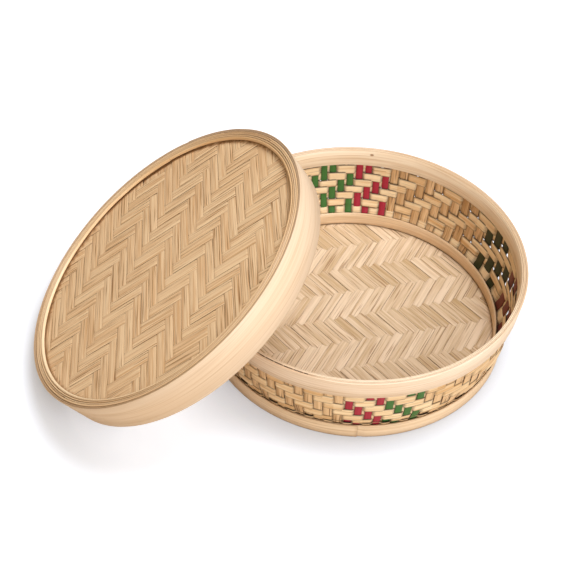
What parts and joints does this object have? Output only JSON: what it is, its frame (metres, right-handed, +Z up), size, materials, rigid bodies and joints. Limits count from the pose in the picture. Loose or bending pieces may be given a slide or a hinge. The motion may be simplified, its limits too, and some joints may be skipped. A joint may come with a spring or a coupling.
{
  "type": "lidded basket",
  "caption": "Round woven basket with bent hoops at rim and base, an open twill wall with groups of dyed stakes, and a shallow lid leaning beside it.",
  "frame": {"origin": "middle of the basket's underside, level with what it stands on", "axes": "+Z up along the basket's axis, -X towards the lid that leans on the left, -Y towards the viewer"},
  "size_m": [0.3706, 0.2899, 0.1697],
  "materials": {
    "hoop_bamboo": "smooth split bamboo with a satin skin",
    "woven_strip": "matt scraped bamboo strip",
    "mat_strip": "matt scraped bamboo strip with open grain",
    "dyed_red": "matt dyed bamboo strip",
    "dyed_green": "matt dyed bamboo strip"
  },
  "bodies": {
    "basket": {"base_inner_hoop": "hoop_bamboo", "base_outer_hoop": "hoop_bamboo", "floor_mat": "mat_strip", "green_stake_back_1": "dyed_green", "green_stake_back_2": "dyed_green", "green_stake_back_3": "dyed_green", "green_stake_back_4": "dyed_green", "green_stake_back_5": "dyed_green", "green_stake_front_1": "dyed_green", "green_stake_front_2": "dyed_green", "green_stake_front_3": "dyed_green", "green_stake_front_4": "dyed_green", "green_stake_left_1": "dyed_green", "green_stake_left_2": "dyed_green", "green_stake_left_3": "dyed_green", "green_stake_left_4": "dyed_green", "green_stake_left_5": "dyed_green", "green_stake_right_1": "dyed_green", "green_stake_right_2": "dyed_green", "green_stake_right_3": "dyed_green", "green_stake_right_4": "dyed_green", "red_stake_back_1": "dyed_red", "red_stake_back_2": "dyed_red", "red_stake_back_3": "dyed_red", "red_stake_back_4": "dyed_red", "red_stake_front_1": "dyed_red", "red_stake_front_2": "dyed_red", "red_stake_front_3": "dyed_red", "red_stake_front_4": "dyed_red", "red_stake_left_1": "dyed_red", "red_stake_left_2": "dyed_red", "red_stake_left_3": "dyed_red", "red_stake_left_4": "dyed_red", "red_stake_right_1": "dyed_red", "red_stake_right_2": "dyed_red", "red_stake_right_3": "dyed_red", "red_stake_right_4": "dyed_red", "rim_liner_with_stakes": "hoop_bamboo", "rim_outer_hoop": "hoop_bamboo", "weaver_1": "woven_strip", "weaver_2": "woven_strip", "weaver_3": "woven_strip", "weaver_4": "woven_strip", "weaver_5": "woven_strip", "weaver_6": "woven_strip", "weaver_7": "woven_strip"},
    "lid": {"lid_inner_ply": "hoop_bamboo", "lid_mat": "mat_strip", "lid_outer_band": "hoop_bamboo", "lid_press_hoop_inner": "hoop_bamboo", "lid_press_hoop_outer": "hoop_bamboo", "lid_support_hoop": "hoop_bamboo"}
  },
  "joints": [
    {"name": "lid_lift", "type": "slide", "parent": "basket", "child": "lid", "axis": [0, 0, 1], "range_m": [0, 0.25]}
  ]
}
